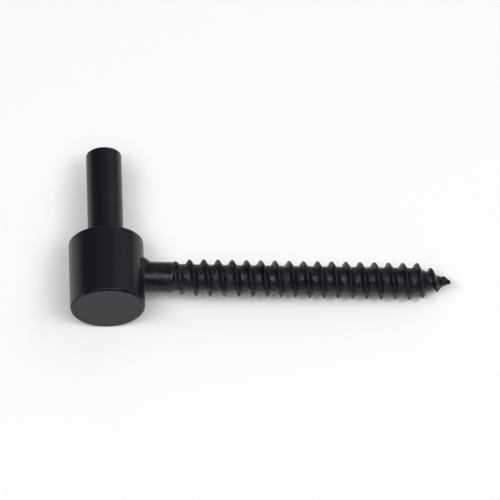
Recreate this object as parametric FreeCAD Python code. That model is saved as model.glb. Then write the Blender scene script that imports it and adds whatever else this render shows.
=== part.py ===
"""Gate hinge pin: a turned steel pintle with a lag screw welded to the side of its boss.

The pintle's axis is Y, with the hinge pin pointing along +Y and the origin on that axis at the boss's
shoulder. The lag screw leaves the middle of the boss's side towards +X. The part lies as it comes to
rest: the boss on its side, and the screw tipped down until its thread meets the same surface, which is
at z = -boss_radius.
"""
import FreeCAD, Part
import math
import os

from FreeCAD import Vector

# Driving dimensions in millimetres and degrees

# Turned pintle: boss and hinge pin from one bar
boss_diameter = 19.05
boss_length = 18.95
boss_bottom_chamfer = 0.45
boss_shoulder_chamfer = 0.35
pin_diameter = 9.05
pin_length = 26.3
pin_tip_chamfer = 0.5

# Lag screw without a head, coped to the boss
lag_standout = 78.1
shank_diameter = 7.9
shank_standout = 7.0
shank_end_slope = 40.0

# Rolled lag thread, right-handed, seven turns an inch. Angles round the screw go from +Y towards +Z.
pitch = 3.6286
thread_diameter = 9.5
root_diameter = 6.85
crest_width = 0.4
head_flank_angle = 26.0
tip_flank_angle = 34.0
thread_tip_angle = 166.0
run_in_turns = 3.2
buried_turns = 1.4
run_out_turns = 1.4
faintest_thread = 0.1

# Gimlet point
point_angle = 40.0
tip_diameter = 0.8

# Fillet weld round the shank, laid from two sides and heavier on one of them
weld_leg_on_boss = 0.65
weld_leg_on_shank = 0.85
weld_bulge_height = 0.05
weld_heavy_angle = 38.0
weld_heavy_share = 0.55
weld_two_sided_share = 0.38
weld_sunk_depth = 0.6

# Smooth curves are drawn through this many points a turn, and the resting point looked for at this many
points_per_turn = 12
resting_points_per_turn = 90

# Worked out from the driving dimensions
boss_radius = boss_diameter / 2
lag_setback = boss_length / 2
pin_radius = pin_diameter / 2
shank_radius = shank_diameter / 2
thread_radius = thread_diameter / 2
root_radius = root_diameter / 2
tip_radius = tip_diameter / 2
thread_depth = thread_radius - root_radius
head_foot = crest_width / 2 + thread_depth * math.tan(math.radians(head_flank_angle))
tip_foot = crest_width / 2 + thread_depth * math.tan(math.radians(tip_flank_angle))
point_taper = math.tan(math.radians(point_angle / 2))

# Stations are distances along the screw from the pintle's axis. The thread is made a turn too long at each
# end: it starts inside the shank, and runs on past the tip, where it is cut off.
tip_station = boss_radius + lag_standout
shank_end = boss_radius + shank_standout
turns = math.ceil((tip_station - shank_end) / pitch) + 2
thread_end = tip_station + pitch
thread_start = thread_end - turns * pitch
tip_turn = turns - 1
first_rise = (shank_end - thread_start) / pitch - buried_turns
lag_axis_start = Vector(0, -lag_setback, 0)
along_lag = Vector(1, 0, 0)

# How the two edges of a face share its middle: alike, or by the lengths of a flank's two edges
even = [1, 1]
even_bulge = [1, 1, 1]
foot_to_crest = [thread_radius, root_radius]


def ease(share):
    """Goes smoothly from 0 to 1 as share does, and stays level outside."""
    share = min(max(share, 0.0), 1.0)
    return share * share * (3 - 2 * share)


def around_lag(station, radius, turn):
    """Point at a station along the screw's axis and a radius from it, after so many turns."""
    angle = math.radians(thread_tip_angle) + 2 * math.pi * (turn - tip_turn)
    return Vector(station, radius * math.cos(angle) - lag_setback, radius * math.sin(angle))


def core_radius(station):
    """Root of the thread: a cylinder that turns into the cone of the gimlet point."""
    cone = tip_radius + (tip_station - station) * point_taper
    return max(min(root_radius, cone), tip_radius)


def thread_height(turn):
    """Height of the thread over its root: it rises out of the shank and fades into the point."""
    risen = ease((turn - first_rise) / run_in_turns)
    left = ease((tip_turn - turn) / run_out_turns)
    return thread_depth * max(risen * left, faintest_thread)


# The screw's surface follows four rails that wind round it together: the foot of the thread on the head
# side, the two edges of its crest, and its foot on the tip side. Two more follow the axis and close the ends.


def middle(turn):
    return thread_start + pitch * turn


def head_foot_rail(turn):
    station = middle(turn) - head_foot
    return around_lag(station, core_radius(station), turn)


def head_crest_rail(turn):
    height = core_radius(middle(turn)) + thread_height(turn)
    return around_lag(middle(turn) - crest_width / 2, height, turn)


def tip_crest_rail(turn):
    height = core_radius(middle(turn)) + thread_height(turn)
    return around_lag(middle(turn) + crest_width / 2, height, turn)


def tip_foot_rail(turn):
    station = middle(turn) + tip_foot
    return around_lag(station, core_radius(station), turn)


def head_axis_rail(turn):
    return around_lag(middle(turn) - head_foot, 0, turn)


def tip_axis_rail(turn):
    return around_lag(middle(turn) + tip_foot, 0, turn)


def smooth_curve(path, first, last):
    """Spline through the points that path gives from one turn to another."""
    count = round((last - first) * points_per_turn)
    values = [first + index / points_per_turn for index in range(count + 1)]
    curve = Part.BSplineCurve()
    curve.interpolate(Points=[path(value) for value in values], Parameters=values)
    return curve


def stretches(curve, cuts):
    """A smooth curve as separate curves, from each of the cuts to the next."""
    pieces = []
    for first, last in zip(cuts, cuts[1:]):
        piece = curve.copy()
        piece.segment(first, last)
        pieces.append(piece)
    return pieces


def turns_of(rail):
    return stretches(smooth_curve(rail, 0, turns), range(turns + 1))


def halves_of(ring):
    """A closed ring as two half-turns, drawn a turn longer each way so that it closes smoothly."""
    return stretches(smooth_curve(ring, -1, 2), [0, 0.5, 1])


def face_across(curves, weights):
    """Face between the first curve and the last: straight across for two, bulging towards a third.

    The middle of the face is drawn towards the curves with more weight.
    """
    along = curves[0]
    across = len(curves) - 1
    surface = Part.BSplineSurface()
    surface.buildFromPolesMultsKnots(
        [curve.getPoles() for curve in curves],
        [across + 1, across + 1],
        along.getMultiplicities(),
        [0, 1],
        range(len(along.getKnots())),
        False,
        False,
        across,
        along.Degree,
        [[weight] * along.NbPoles for weight in weights],
    )
    return surface.toShape()


def flat_face(corners):
    return Part.Face(Part.makePolygon(corners + corners[:1]))


def solid_of(faces):
    shell = Part.Compound(faces)
    shell.sewShape()
    solid = Part.Solid(shell.Shells[0])
    if solid.Volume < 0:
        solid.reverse()
    return solid


def make_thread():
    """Root, flanks and crest of the thread, from inside the shank to past the tip.

    Its two ends are closed like a spiral stair, by a ramp round the axis and a flat riser.
    """
    head_feet = turns_of(head_foot_rail)
    head_crests = turns_of(head_crest_rail)
    tip_crests = turns_of(tip_crest_rail)
    tip_feet = turns_of(tip_foot_rail)
    last = turns - 1
    first_ramp = [turns_of(head_axis_rail)[0], head_feet[0]]
    last_ramp = [tip_feet[last], turns_of(tip_axis_rail)[last]]
    profile = [head_foot_rail, head_crest_rail, tip_crest_rail, tip_foot_rail]
    first_riser = [rail(0) for rail in profile]
    first_riser += [head_foot_rail(1), head_axis_rail(1), head_axis_rail(0)]
    last_riser = [rail(turns) for rail in profile]
    last_riser += [tip_axis_rail(turns), tip_axis_rail(last), tip_foot_rail(last)]
    faces = [
        face_across(first_ramp, even),
        face_across(last_ramp, even),
        flat_face(first_riser),
        flat_face(last_riser),
    ]
    for turn in range(turns):
        faces.append(face_across([head_feet[turn], head_crests[turn]], foot_to_crest))
        faces.append(face_across([head_crests[turn], tip_crests[turn]], even))
        faces.append(face_across([tip_feet[turn], tip_crests[turn]], foot_to_crest))
    for turn in range(last):
        faces.append(face_across([tip_feet[turn], head_feet[turn + 1]], even))
    return solid_of(faces)


def make_pintle():
    """Boss and hinge pin, turned as one profile about the Y axis, with their sharp edges broken."""
    profile = [
        Vector(0, -boss_length, 0),
        Vector(boss_radius - boss_bottom_chamfer, -boss_length, 0),
        Vector(boss_radius, boss_bottom_chamfer - boss_length, 0),
        Vector(boss_radius, -boss_shoulder_chamfer, 0),
        Vector(boss_radius - boss_shoulder_chamfer, 0, 0),
        Vector(pin_radius, 0, 0),
        Vector(pin_radius, pin_length - pin_tip_chamfer, 0),
        Vector(pin_radius - pin_tip_chamfer, pin_length, 0),
        Vector(0, pin_length, 0),
    ]
    return flat_face(profile).revolve(Vector(0, 0, 0), Vector(0, 1, 0), 360)


def make_shank():
    """Plain shank from the pintle's axis to the thread, where it slopes down into the thread's core."""
    slope_bottom = root_radius / 2
    slope_length = (shank_radius - slope_bottom) / math.tan(math.radians(shank_end_slope))
    profile = [
        lag_axis_start,
        lag_axis_start + Vector(0, shank_radius, 0),
        lag_axis_start + Vector(shank_end, shank_radius, 0),
        lag_axis_start + Vector(shank_end + slope_length, slope_bottom, 0),
        lag_axis_start + Vector(shank_end + slope_length, 0, 0),
    ]
    return flat_face(profile).revolve(lag_axis_start, along_lag, 360)


def make_lag_screw(pintle):
    """The thread, cut off at its blunt tip, grown together with the plain shank and coped to the boss."""
    tip = lag_axis_start + along_lag * tip_station
    past_tip = Part.makeCylinder(thread_diameter, 2 * pitch, tip, along_lag)
    return make_thread().cut(past_tip).fuse(make_shank()).cut(pintle).Solids[0]


# The weld bead is a closed ring round the shank. Its section has a toe on the boss, a bulging face, a toe on
# the shank, and a back inside both of them that is cut away to their surfaces.


def boss_surface(offset, angle):
    """Station of the boss's round side, at a distance and angle from the screw's axis."""
    return math.sqrt(boss_radius**2 - (offset * math.sin(angle)) ** 2)


def weld_size(angle):
    """Share of the weld's legs at an angle round the screw."""
    turned = angle - math.radians(weld_heavy_angle)
    return 1 + weld_heavy_share * math.cos(turned) + weld_two_sided_share * math.cos(2 * turned)


def weld_section(turn):
    """Station and radius of both toes at a point round the weld, carried on into the boss and the shank."""
    angle = 2 * math.pi * turn
    size = weld_size(angle)
    boss_toe_radius = shank_radius + weld_leg_on_boss * size
    boss_toe = Vector(boss_surface(boss_toe_radius, angle), boss_toe_radius, 0)
    shank_toe = Vector(boss_surface(shank_radius, angle) + weld_leg_on_shank * size, shank_radius, 0)
    onward = (shank_toe - boss_toe).normalize() * weld_sunk_depth
    return boss_toe - onward, shank_toe + onward


def round_weld(section_point, turn):
    angle = 2 * math.pi * turn
    radius = section_point.y
    return Vector(section_point.x, radius * math.cos(angle) - lag_setback, radius * math.sin(angle))


def weld_boss_ring(turn):
    return round_weld(weld_section(turn)[0], turn)


def weld_shank_ring(turn):
    return round_weld(weld_section(turn)[1], turn)


def weld_bulge_ring(turn):
    boss_toe, shank_toe = weld_section(turn)
    across = (shank_toe - boss_toe).normalize()
    outward = Vector(-across.y, across.x, 0)
    return round_weld((boss_toe + shank_toe) / 2 + outward * 2 * weld_bulge_height, turn)


def weld_back_ring(turn):
    boss_toe, shank_toe = weld_section(turn)
    return round_weld(Vector(boss_toe.x, shank_toe.y, 0), turn)


def make_weld_bead(pintle, lag_screw):
    boss_ring = halves_of(weld_boss_ring)
    bulge_ring = halves_of(weld_bulge_ring)
    shank_ring = halves_of(weld_shank_ring)
    back_ring = halves_of(weld_back_ring)
    faces = []
    for half in range(2):
        faces.append(face_across([boss_ring[half], bulge_ring[half], shank_ring[half]], even_bulge))
        faces.append(face_across([shank_ring[half], back_ring[half]], even))
        faces.append(face_across([back_ring[half], boss_ring[half]], even))
    return solid_of(faces).cut(pintle).cut(lag_screw).Solids[0]


def resting_slope():
    """Angle that tips the screw down until its lowest crest is level with the underside of the boss."""
    slopes = []
    for step in range(tip_turn * resting_points_per_turn):
        for rail in (head_crest_rail, tip_crest_rail):
            point = rail(step / resting_points_per_turn)
            reach = math.hypot(point.x, point.z)
            slopes.append(math.asin(boss_radius / reach) + math.atan2(point.z, point.x))
    return math.degrees(min(slopes))


def main():
    os.makedirs("parts", exist_ok=True)
    pintle = make_pintle()
    lag_screw = make_lag_screw(pintle)
    weld_bead = make_weld_bead(pintle, lag_screw)
    slope = resting_slope()
    for shape in (lag_screw, weld_bead):
        shape.rotate(Vector(0, 0, 0), Vector(0, 1, 0), slope)
    pintle.exportStep("parts/pintle_pin.step")
    lag_screw.exportStep("parts/lag_screw.step")
    weld_bead.exportStep("parts/weld_bead.step")
    print("screw slopes down by", round(slope, 3), "degrees")
    for name, shape in (("pintle_pin", pintle), ("lag_screw", lag_screw), ("weld_bead", weld_bead)):
        print(name, shape.ShapeType, shape.isValid(), round(shape.Volume, 2), len(shape.Faces))


main()
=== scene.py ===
import math

import bmesh
import bpy
from mathutils import Matrix, Vector, noise


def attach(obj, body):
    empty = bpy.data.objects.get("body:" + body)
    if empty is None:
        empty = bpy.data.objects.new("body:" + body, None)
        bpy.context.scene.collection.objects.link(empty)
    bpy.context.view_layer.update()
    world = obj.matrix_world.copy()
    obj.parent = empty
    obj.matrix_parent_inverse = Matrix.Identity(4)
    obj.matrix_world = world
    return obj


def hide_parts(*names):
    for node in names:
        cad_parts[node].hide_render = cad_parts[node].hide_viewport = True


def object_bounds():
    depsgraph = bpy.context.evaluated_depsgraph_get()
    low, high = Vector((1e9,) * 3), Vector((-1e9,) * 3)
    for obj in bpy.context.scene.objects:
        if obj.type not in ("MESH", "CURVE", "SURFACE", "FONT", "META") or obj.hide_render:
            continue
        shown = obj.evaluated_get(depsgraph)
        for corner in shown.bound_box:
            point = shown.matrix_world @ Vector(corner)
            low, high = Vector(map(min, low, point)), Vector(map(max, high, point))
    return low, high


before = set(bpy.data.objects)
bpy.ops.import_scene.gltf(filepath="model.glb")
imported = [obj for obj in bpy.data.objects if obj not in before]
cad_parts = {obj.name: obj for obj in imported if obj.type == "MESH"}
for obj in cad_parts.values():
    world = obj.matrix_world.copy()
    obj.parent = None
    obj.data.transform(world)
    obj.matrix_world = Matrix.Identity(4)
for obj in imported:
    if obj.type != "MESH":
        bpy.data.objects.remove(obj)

cad_low, cad_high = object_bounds()

# Sizes of the part in millimetres and degrees. A piece is modelled in millimetres, the screw and its weld
# along +X from the pintle's axis, and then put in its place in metres.

# Turned pintle: boss and hinge pin. Beside each round lies a short flat, which keeps the shading even.
boss_radius = 9.51
boss_length = 18.94
boss_bottom_chamfer = 0.45
boss_bottom_round = 0.12
boss_shoulder_round = 0.4
nicked_width = 0.3
pin_radius = 4.52
pin_length = 26.29
pin_tip_round = 0.6
pin_root_round = 0.25
flat_margin = 0.04

# Lag screw. Stations are distances along it from the pintle's axis.
lag_setback = 9.475
lag_slope = 3.517
lag_end_inside_boss = 8.0
tip_station = 87.6
shank_radius = 3.95
shank_end = 16.5
shank_end_slope = 40.0
point_half_angle = 20.0
tip_radius = 0.4

# Its thread. Angles round the screw go from +Y towards +Z.
pitch = 3.6286
thread_radius = 4.74
root_radius = 3.425
thread_depth = thread_radius - root_radius
crest_width = 0.28
crest_round = 0.13
head_flank_angle = 27.9
tip_flank_angle = 35.7
foot_round = 0.42
head_run = thread_depth * math.tan(math.radians(head_flank_angle))
tip_run = thread_depth * math.tan(math.radians(tip_flank_angle))
root_flat = pitch - crest_width - head_run - tip_run
thread_tip_angle = 166.0
buried_turns = 1.4
tip_turn = round((tip_station - shank_end) / pitch + buried_turns)
thread_start = tip_station - tip_turn * pitch
run_in_turns = 3.2
run_out_turns = 1.4
run_out_fullness = 0.6
faintest_thread = 0.1
turns_before_start = 2
turns_past_tip = 2

# Fillet weld round the shank: heavy on one side, wavy and lumpy, with a blob where the welding stopped
weld_leg_on_boss = 0.61
weld_leg_on_shank = 0.85
weld_bulge = 0.02
weld_face_round = 0.3
weld_face_dip = 0.35
weld_sunk = 0.5
weld_heavy_angle = 36.0
weld_heavy_share = 1.45
weld_heavy_sharpness = 6
weld_thin_share = 0.42
weld_wave_share = 0.12
weld_waves = 3.2
weld_lump_height = 0.1
weld_lump_size = 0.8
weld_blob_angle = 57.0
weld_blob_radius = 5.05
weld_blob_size = 0.85
weld_blob_height = 0.4
weld_blob_reach = 0.4

# Steps of the smooth shapes, and gaps that are closed
pintle_steps = 192
pintle_round_steps = 7
thread_steps = 72
thread_round_steps = 4
weld_steps = 228
weld_round_steps = 7
weld_section_cuts = 6
merge_gap = 0.0005
turn_gap = 0.002
cut_gap = 0.0001

mm = 0.001
pintle_place = Matrix.Scale(mm, 4)
lag_place = (
    pintle_place
    @ Matrix.Rotation(math.radians(lag_slope), 4, "Y")
    @ Matrix.Translation((0, -lag_setback, 0))
)


# Finishes


class Value:
    """A socket of a finish, which can be used in sums."""

    def __init__(self, finish, socket):
        self.finish = finish
        self.socket = socket

    def __add__(self, other):
        return self.finish.maths("ADD", self, other)

    def __radd__(self, other):
        return self.finish.maths("ADD", other, self)

    def __sub__(self, other):
        return self.finish.maths("SUBTRACT", self, other)

    def __rsub__(self, other):
        return self.finish.maths("SUBTRACT", other, self)

    def __mul__(self, other):
        return self.finish.maths("MULTIPLY", self, other)

    def __rmul__(self, other):
        return self.finish.maths("MULTIPLY", other, self)


class Finish:
    """Nodes of one material, or of the world round the part."""

    def __init__(self, owner):
        self.owner = owner
        owner.use_nodes = True
        self.tree = owner.node_tree
        self.tree.nodes.clear()

    def node(self, kind, settings, inputs, output=0):
        made = self.tree.nodes.new("ShaderNode" + kind)
        for name, setting in settings.items():
            setattr(made, name, setting)
        for name, value in inputs.items():
            if isinstance(value, Value):
                self.tree.links.new(value.socket, made.inputs[name])
            else:
                made.inputs[name].default_value = value
        return Value(self, made.outputs[output]) if made.outputs else None

    def maths(self, operation, first, second):
        return self.node("Math", {"operation": operation}, {0: first, 1: second})

    def mix(self, share, first, second):
        return self.node("Mix", {"data_type": "RGBA"}, {0: share, 6: first, 7: second}, 2)

    def place(self):
        return self.node("TexCoord", {}, {}, "Object")

    def grain(self, place, size, detail=2.0):
        """Noise whose spots are about this many millimetres across."""
        inputs = {"Vector": place, "Scale": 0.5 / (size * mm), "Detail": detail, "Roughness": 0.55}
        return self.node("TexNoise", {}, inputs)

    def between(self, value, low, high):
        """0 below low and 1 above high, smoothly between."""
        settings = {"interpolation_type": "SMOOTHSTEP"}
        return self.node("MapRange", settings, {"Value": value, "From Min": low, "From Max": high})

    def bump(self, height, depth):
        """Normal of a surface whose height runs from 0 to 1 over this many millimetres."""
        return self.node("Bump", {}, {"Height": height, "Strength": 1.0, "Distance": depth * mm})

    def surface(self, kind, inputs):
        """The material itself, with this shader as its surface."""
        self.node("OutputMaterial", {}, {"Surface": self.node(kind, {}, inputs)})
        return self.owner


def lower_rim(finish, place):
    """1 on the chamfer round the bottom of the boss, and 0 elsewhere."""
    along = finish.node("SeparateXYZ", {}, {"Vector": place}, "Y")
    across = finish.node("VectorMath", {"operation": "MULTIPLY"}, {0: place, 1: (1, 0, 1)})
    radius = finish.node("VectorMath", {"operation": "LENGTH"}, {0: across}, "Value")
    chamfer_top = boss_bottom_chamfer - boss_length
    chamfer_inside = boss_radius - boss_bottom_chamfer
    below = 1 - finish.between(along, chamfer_top * mm, (chamfer_top + nicked_width) * mm)
    return below * finish.between(radius, chamfer_inside * mm, (chamfer_inside + nicked_width) * mm)


def satin_black_coat():
    """Sprayed and baked satin black on smooth turned steel, nicked along the lower rim."""
    finish = Finish(bpy.data.materials.new("satin_black_coat"))
    place = finish.place()
    cloud = finish.grain(place, size=5.0, detail=3.0)
    peel = finish.grain(place, size=0.42)
    dust = finish.grain(place, size=0.16)
    nicks = finish.between(finish.grain(place, size=0.8), low=0.4, high=0.6)
    rim = lower_rim(finish, place)
    colour = finish.mix(cloud, (0.0062, 0.0048, 0.0086, 1), (0.0082, 0.0065, 0.0112, 1))
    coat = {
        "Base Color": colour,
        "Roughness": 0.25 + 0.08 * cloud + 0.09 * dust - 0.14 * rim,
        "IOR": 1.335,
        "Normal": finish.bump(peel * 0.7 + dust * 0.3 + nicks * rim * 4, depth=0.016),
    }
    return finish.surface("BsdfPrincipled", coat)


def screw_black_coat():
    """Thinner black coat that shows the mottled surface of the rolled screw, gritty on the thread."""
    finish = Finish(bpy.data.materials.new("screw_black_coat"))
    place = finish.place()
    mottle = finish.grain(place, size=0.9, detail=3.0)
    peel = finish.grain(place, size=0.3)
    grit = finish.between(finish.grain(place, size=0.7), low=0.36, high=0.64)
    scale = finish.between(finish.grain(place, size=1.6), low=0.42, high=0.62)
    along = finish.node("SeparateXYZ", {}, {"Vector": place}, "X")
    threaded = finish.between(along, shank_end * mm, (shank_end + thread_depth) * mm)
    colour = finish.mix(scale, (0.0074, 0.0060, 0.0096, 1), (0.0118, 0.0100, 0.0144, 1))
    coat = {
        "Base Color": colour,
        "Roughness": 0.2 + 0.1 * scale + (0.02 + 0.26 * grit) * threaded,
        "IOR": 1.32,
        "Normal": finish.bump(mottle * 0.5 + peel * 0.25 + grit * threaded * 0.22, depth=0.3),
    }
    return finish.surface("BsdfPrincipled", coat)


def weld_black_coat():
    """Black coat over the uneven weld."""
    finish = Finish(bpy.data.materials.new("weld_black_coat"))
    place = finish.place()
    pits = finish.grain(place, size=0.35, detail=3.0)
    colour = finish.mix(pits, (0.0090, 0.0080, 0.0105, 1), (0.0160, 0.0146, 0.0178, 1))
    coat = {
        "Base Color": colour,
        "Roughness": 0.36 + 0.2 * pits,
        "IOR": 1.35,
        "Normal": finish.bump(pits, depth=0.06),
    }
    return finish.surface("BsdfPrincipled", coat)


def white_floor_paint():
    """Plain matt white."""
    finish = Finish(bpy.data.materials.new("white_floor_paint"))
    return finish.surface("BsdfDiffuse", {"Color": (0.97, 0.97, 0.965, 1)})


# Pieces


def ease(share):
    """Goes smoothly from 0 to 1 as share does, and stays level outside."""
    share = min(max(share, 0.0), 1.0)
    return share * share * (3 - 2 * share)


def chain(bm, points):
    """Vertices at the points, joined by edges one after another."""
    verts = [bm.verts.new(point) for point in points]
    for first, second in zip(verts, verts[1:]):
        bm.edges.new((first, second))
    return verts


def round_corner(bm, corner, size, steps):
    """Turns a corner of a chain into an arc that starts this far from it on both sides."""
    bmesh.ops.bevel(
        bm,
        geom=[corner],
        offset=size,
        offset_type="OFFSET",
        segments=steps,
        profile=0.5,
        affect="VERTICES",
        material=-1,
    )


def close_up(bm):
    """Merges what meets and turns every face outwards."""
    bmesh.ops.remove_doubles(bm, verts=bm.verts[:], dist=merge_gap)
    bmesh.ops.recalc_face_normals(bm, faces=bm.faces[:])


def make_pintle():
    """Boss and hinge pin, turned as one profile about the Y axis, with rounded edges."""
    corners = [
        (Vector((0, -boss_length, 0)), 0),
        (Vector((boss_radius - boss_bottom_chamfer, -boss_length, 0)), boss_bottom_round),
        (Vector((boss_radius, boss_bottom_chamfer - boss_length, 0)), boss_bottom_round),
        (Vector((boss_radius, 0, 0)), boss_shoulder_round),
        (Vector((pin_radius, 0, 0)), pin_root_round),
        (Vector((pin_radius, pin_length, 0)), pin_tip_round),
        (Vector((0, pin_length, 0)), 0),
    ]
    points = [corners[0][0]]
    rounds = {}
    for before, (corner, size), after in zip(corners, corners[1:], corners[2:]):
        reach = size + flat_margin
        points.append(corner + (before[0] - corner).normalized() * reach)
        rounds[len(points)] = size
        points.append(corner)
        points.append(corner + (after[0] - corner).normalized() * reach)
    points.append(corners[-1][0])
    bm = bmesh.new()
    verts = chain(bm, points)
    for index, size in rounds.items():
        round_corner(bm, verts[index], size, pintle_round_steps)
    bmesh.ops.spin(
        bm,
        geom=bm.verts[:] + bm.edges[:],
        cent=(0, 0, 0),
        axis=(0, 1, 0),
        angle=2 * math.pi,
        steps=pintle_steps,
        use_merge=True,
    )
    close_up(bm)
    return bm


def core_radius(station):
    """Root of the thread: a cylinder that turns into the cone of the gimlet point."""
    cone = tip_radius + (tip_station - station) * math.tan(math.radians(point_half_angle))
    return max(min(root_radius, cone), tip_radius)


def screw_radius(station, share):
    """Radius of the screw, where share says how far up the thread's flank a point lies."""
    turn = (station - thread_start) / pitch
    risen = ease(turn / run_in_turns)
    left = ease((tip_turn - turn) / run_out_turns) ** run_out_fullness
    threaded = core_radius(station) + thread_depth * share * max(risen * left, faintest_thread)
    past_shank = max(station - shank_end, 0) * math.tan(math.radians(shank_end_slope))
    return max(threaded, shank_radius - past_shank)


def draw_first_thread(bm):
    """One pitch of the thread from the middle of a root to the next, with its crest and feet rounded."""
    head_crest = thread_start - turns_before_start * pitch - crest_width / 2
    tip_crest = head_crest + crest_width
    head_foot = head_crest - head_run
    tip_foot = tip_crest + tip_run
    corners = [
        (head_foot - root_flat / 2, root_radius, 0),
        (head_foot, root_radius, 0),
        (head_crest, thread_radius, 0),
        (tip_crest, thread_radius, 0),
        (tip_foot, root_radius, 0),
        (tip_foot + root_flat / 2, root_radius, 0),
    ]
    rounds = (foot_round, crest_round, crest_round, foot_round)
    for vert, size in zip(chain(bm, corners)[1:-1], rounds):
        round_corner(bm, vert, size, thread_round_steps)
    turned = Matrix.Rotation(math.radians(thread_tip_angle), 3, "X")
    bmesh.ops.rotate(bm, verts=bm.verts[:], cent=(0, 0, 0), matrix=turned)


def make_lag_screw():
    """The thread wound along the screw, then faded into the shank and the point."""
    bm = bmesh.new()
    draw_first_thread(bm)
    bmesh.ops.spin(
        bm,
        geom=bm.verts[:] + bm.edges[:],
        cent=(0, 0, 0),
        axis=(1, 0, 0),
        dvec=(pitch / thread_steps, 0, 0),
        angle=2 * math.pi,
        steps=thread_steps,
    )
    first_turn = bm.verts[:] + bm.edges[:] + bm.faces[:]
    for turn in range(1, turns_before_start + tip_turn + turns_past_tip):
        copied = bmesh.ops.duplicate(bm, geom=first_turn)["geom"]
        copied_verts = [part for part in copied if isinstance(part, bmesh.types.BMVert)]
        bmesh.ops.translate(bm, verts=copied_verts, vec=(turn * pitch, 0, 0))
    bmesh.ops.remove_doubles(bm, verts=bm.verts[:], dist=turn_gap)
    for vert in bm.verts:
        radius = math.hypot(vert.co.y, vert.co.z)
        share = (radius - root_radius) / thread_depth
        stretch = screw_radius(vert.co.x, share) / radius
        vert.co.y *= stretch
        vert.co.z *= stretch
    for station, outwards in ((lag_end_inside_boss, -1), (tip_station, 1)):
        bmesh.ops.bisect_plane(
            bm,
            geom=bm.verts[:] + bm.edges[:] + bm.faces[:],
            dist=cut_gap,
            plane_co=(station, 0, 0),
            plane_no=(outwards, 0, 0),
            clear_outer=True,
        )
    rims = [edge for edge in bm.edges if edge.is_boundary]
    bmesh.ops.holes_fill(bm, edges=rims, sides=0)
    close_up(bm)
    return bm


def boss_station(offset, angle):
    """Station of the boss's round side, at a distance and angle from the screw's axis."""
    return math.sqrt(boss_radius**2 - (offset * math.sin(angle)) ** 2)


def weld_size(angle):
    """Share of the weld's legs at an angle round the shank: heavy on one side, with a wavy edge."""
    facing = (1 + math.cos(angle - math.radians(weld_heavy_angle))) / 2
    wave = noise.noise(Vector((math.cos(angle), math.sin(angle), 0)) * weld_waves)
    return (weld_thin_share + weld_heavy_share * facing**weld_heavy_sharpness) * (1 + weld_wave_share * wave)


def weld_blob(radius, angle):
    """Height of the blob where the welding stopped, as a share, at a radius and angle round the shank."""
    across = (math.radians(weld_blob_angle) - angle) * weld_blob_radius
    return math.exp(-((radius - weld_blob_radius) ** 2 + across**2) / weld_blob_size**2)


def make_weld_bead():
    """Fillet of weld round the shank: a section spun round the screw and fitted to the boss's side."""
    bm = bmesh.new()
    face = Vector((weld_leg_on_shank, -weld_leg_on_boss, 0)).normalized()
    boss_toe = Vector((0, weld_leg_on_boss, 0)) - face * weld_face_dip
    shank_toe = Vector((weld_leg_on_shank, 0, 0)) + face * weld_face_dip
    crown = (boss_toe + shank_toe) / 2 + Vector((-face.y, face.x, 0)) * 2 * weld_bulge
    back = Vector((-weld_sunk, -weld_sunk, 0))
    corner = Vector((boss_radius, shank_radius, 0))
    verts = chain(bm, [corner + point for point in (back, boss_toe, crown, shank_toe)])
    bm.edges.new((verts[3], verts[0]))
    round_corner(bm, verts[2], weld_face_round, weld_round_steps)
    bmesh.ops.subdivide_edges(bm, edges=bm.edges[:], cuts=weld_section_cuts)
    bmesh.ops.spin(
        bm,
        geom=bm.verts[:] + bm.edges[:],
        cent=(0, 0, 0),
        axis=(1, 0, 0),
        angle=2 * math.pi,
        steps=weld_steps,
        use_merge=True,
    )
    close_up(bm)
    for vert in bm.verts:
        angle = math.atan2(vert.co.z, vert.co.y)
        along = vert.co.x - boss_radius
        out = math.hypot(vert.co.y, vert.co.z) - shank_radius
        swell = weld_size(angle)
        reach = swell * (1 + weld_blob_reach * weld_blob(weld_blob_radius, angle))
        radius = shank_radius + out * (reach if out > 0 else 1)
        raised = 0
        if out > 0 and along > 0:
            raised = weld_lump_height * swell * noise.noise(vert.co / weld_lump_size)
            raised += weld_blob_height * weld_blob(radius, angle)
        station = boss_station(radius, angle) + along * (swell if along > 0 else 1) + raised
        vert.co = (station, radius * math.cos(angle), radius * math.sin(angle))
    bmesh.ops.recalc_face_normals(bm, faces=bm.faces[:])
    return bm


def put_in_place(bm, place, node, finish):
    """A finished piece: at its place in metres, with its finish, standing for its CAD node."""
    bmesh.ops.transform(bm, matrix=place, verts=bm.verts[:])
    mesh = bpy.data.meshes.new(node + "_finished")
    for face in bm.faces:
        face.smooth = True
    bm.to_mesh(mesh)
    bm.free()
    mesh.materials.append(finish)
    piece = bpy.data.objects.new(node + "_finished", mesh)
    bpy.context.scene.collection.objects.link(piece)
    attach(piece, "root")
    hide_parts(node)


put_in_place(make_pintle(), pintle_place, "pintle_pin", satin_black_coat())
put_in_place(make_lag_screw(), lag_place, "lag_screw", screw_black_coat())
put_in_place(make_weld_bead(), lag_place, "weld_bead", weld_black_coat())


# Floor, light and camera

floor_reach = 4.0
middle_of_part = Vector((0.036, -0.004, -0.004))


def lay_floor():
    bm = bmesh.new()
    bmesh.ops.create_grid(bm, x_segments=1, y_segments=1, size=floor_reach)
    bmesh.ops.translate(bm, verts=bm.verts[:], vec=(0, 0, cad_low.z))
    mesh = bpy.data.meshes.new("floor")
    bm.to_mesh(mesh)
    bm.free()
    mesh.materials.append(white_floor_paint())
    floor = bpy.data.objects.new("floor", mesh)
    bpy.context.scene.collection.objects.link(floor)


def direction(azimuth, elevation):
    """Unit vector towards a lamp or camera: azimuth 0 is in front, at -Y, and 90 to the right, at +X."""
    azimuth, elevation = math.radians(azimuth), math.radians(elevation)
    level = math.cos(elevation)
    return Vector((math.sin(azimuth) * level, -math.cos(azimuth) * level, math.sin(elevation)))


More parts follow.
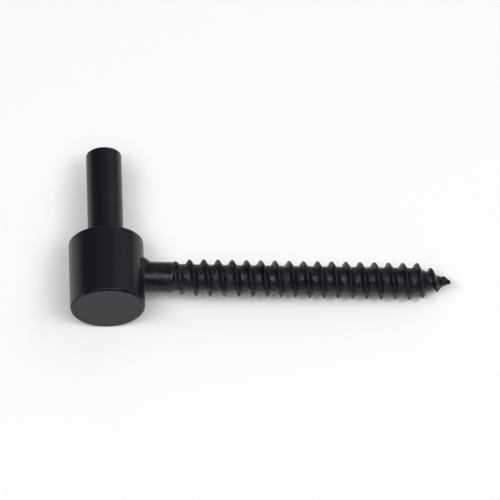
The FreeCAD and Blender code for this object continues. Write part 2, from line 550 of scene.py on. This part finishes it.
def hang_softbox(side, azimuth, elevation, distance, width, height, brightness):
    """Softbox that faces the part. Its brightness is what a mirror would show, with white as 1."""
    name = "softbox_" + side
    lamp = bpy.data.lights.new(name, "AREA")
    lamp.shape = "RECTANGLE"
    lamp.size = width
    lamp.size_y = height
    lamp.energy = brightness * math.pi * width * height
    towards = direction(azimuth, elevation)
    softbox = bpy.data.objects.new(name, lamp)
    softbox.location = middle_of_part + towards * distance
    softbox.rotation_euler = towards.to_track_quat("Z", "Y").to_euler()
    softbox.visible_camera = False
    bpy.context.scene.collection.objects.link(softbox)


def set_camera(aim, azimuth, elevation, roll, distance, width):
    """Camera that sees this width at its aim, in metres."""
    camera = bpy.data.objects.new("camera", bpy.data.cameras.new("camera"))
    camera.data.lens = camera.data.sensor_width * distance / width
    turned = (
        Matrix.Rotation(math.radians(azimuth), 4, "Z")
        @ Matrix.Rotation(math.radians(90 - elevation), 4, "X")
        @ Matrix.Rotation(math.radians(roll), 4, "Z")
    )
    camera.matrix_world = Matrix.Translation(aim + direction(azimuth, elevation) * distance) @ turned
    bpy.context.scene.collection.objects.link(camera)
    bpy.context.scene.camera = camera


def set_room_light(brightness):
    room = Finish(bpy.data.worlds.new("room"))
    background = room.node("Background", {}, {"Color": (*brightness, 1), "Strength": 1.0})
    room.node("OutputWorld", {}, {"Surface": background})
    bpy.context.scene.world = room.owner


lay_floor()
hang_softbox("above", azimuth=0, elevation=71, distance=1.4, width=2.05, height=0.37, brightness=4.07)
hang_softbox("front", azimuth=0, elevation=22, distance=0.9, width=1.2, height=0.5, brightness=0.1)
hang_softbox("right", azimuth=55, elevation=59, distance=1.6, width=1.5, height=0.415, brightness=4.25)
hang_softbox("left", azimuth=-55, elevation=59, distance=1.6, width=1.5, height=0.415, brightness=4.37)
hang_softbox("rear_right", azimuth=130, elevation=36, distance=0.9, width=0.75, height=0.75, brightness=0.68)
hang_softbox("rear", azimuth=180, elevation=22, distance=1.0, width=0.7, height=0.35, brightness=0.5)
hang_softbox("rear_high", azimuth=195, elevation=60, distance=0.9, width=0.5, height=0.35, brightness=0.32)
set_room_light(brightness=(0.055, 0.055, 0.058))
set_camera(
    aim=Vector((0.036546, -0.002339, 0)),
    azimuth=-4.614,
    elevation=59.684,
    roll=3.194,
    distance=2.0,
    width=0.127042,
)
bpy.context.scene.view_settings.view_transform = "Standard"
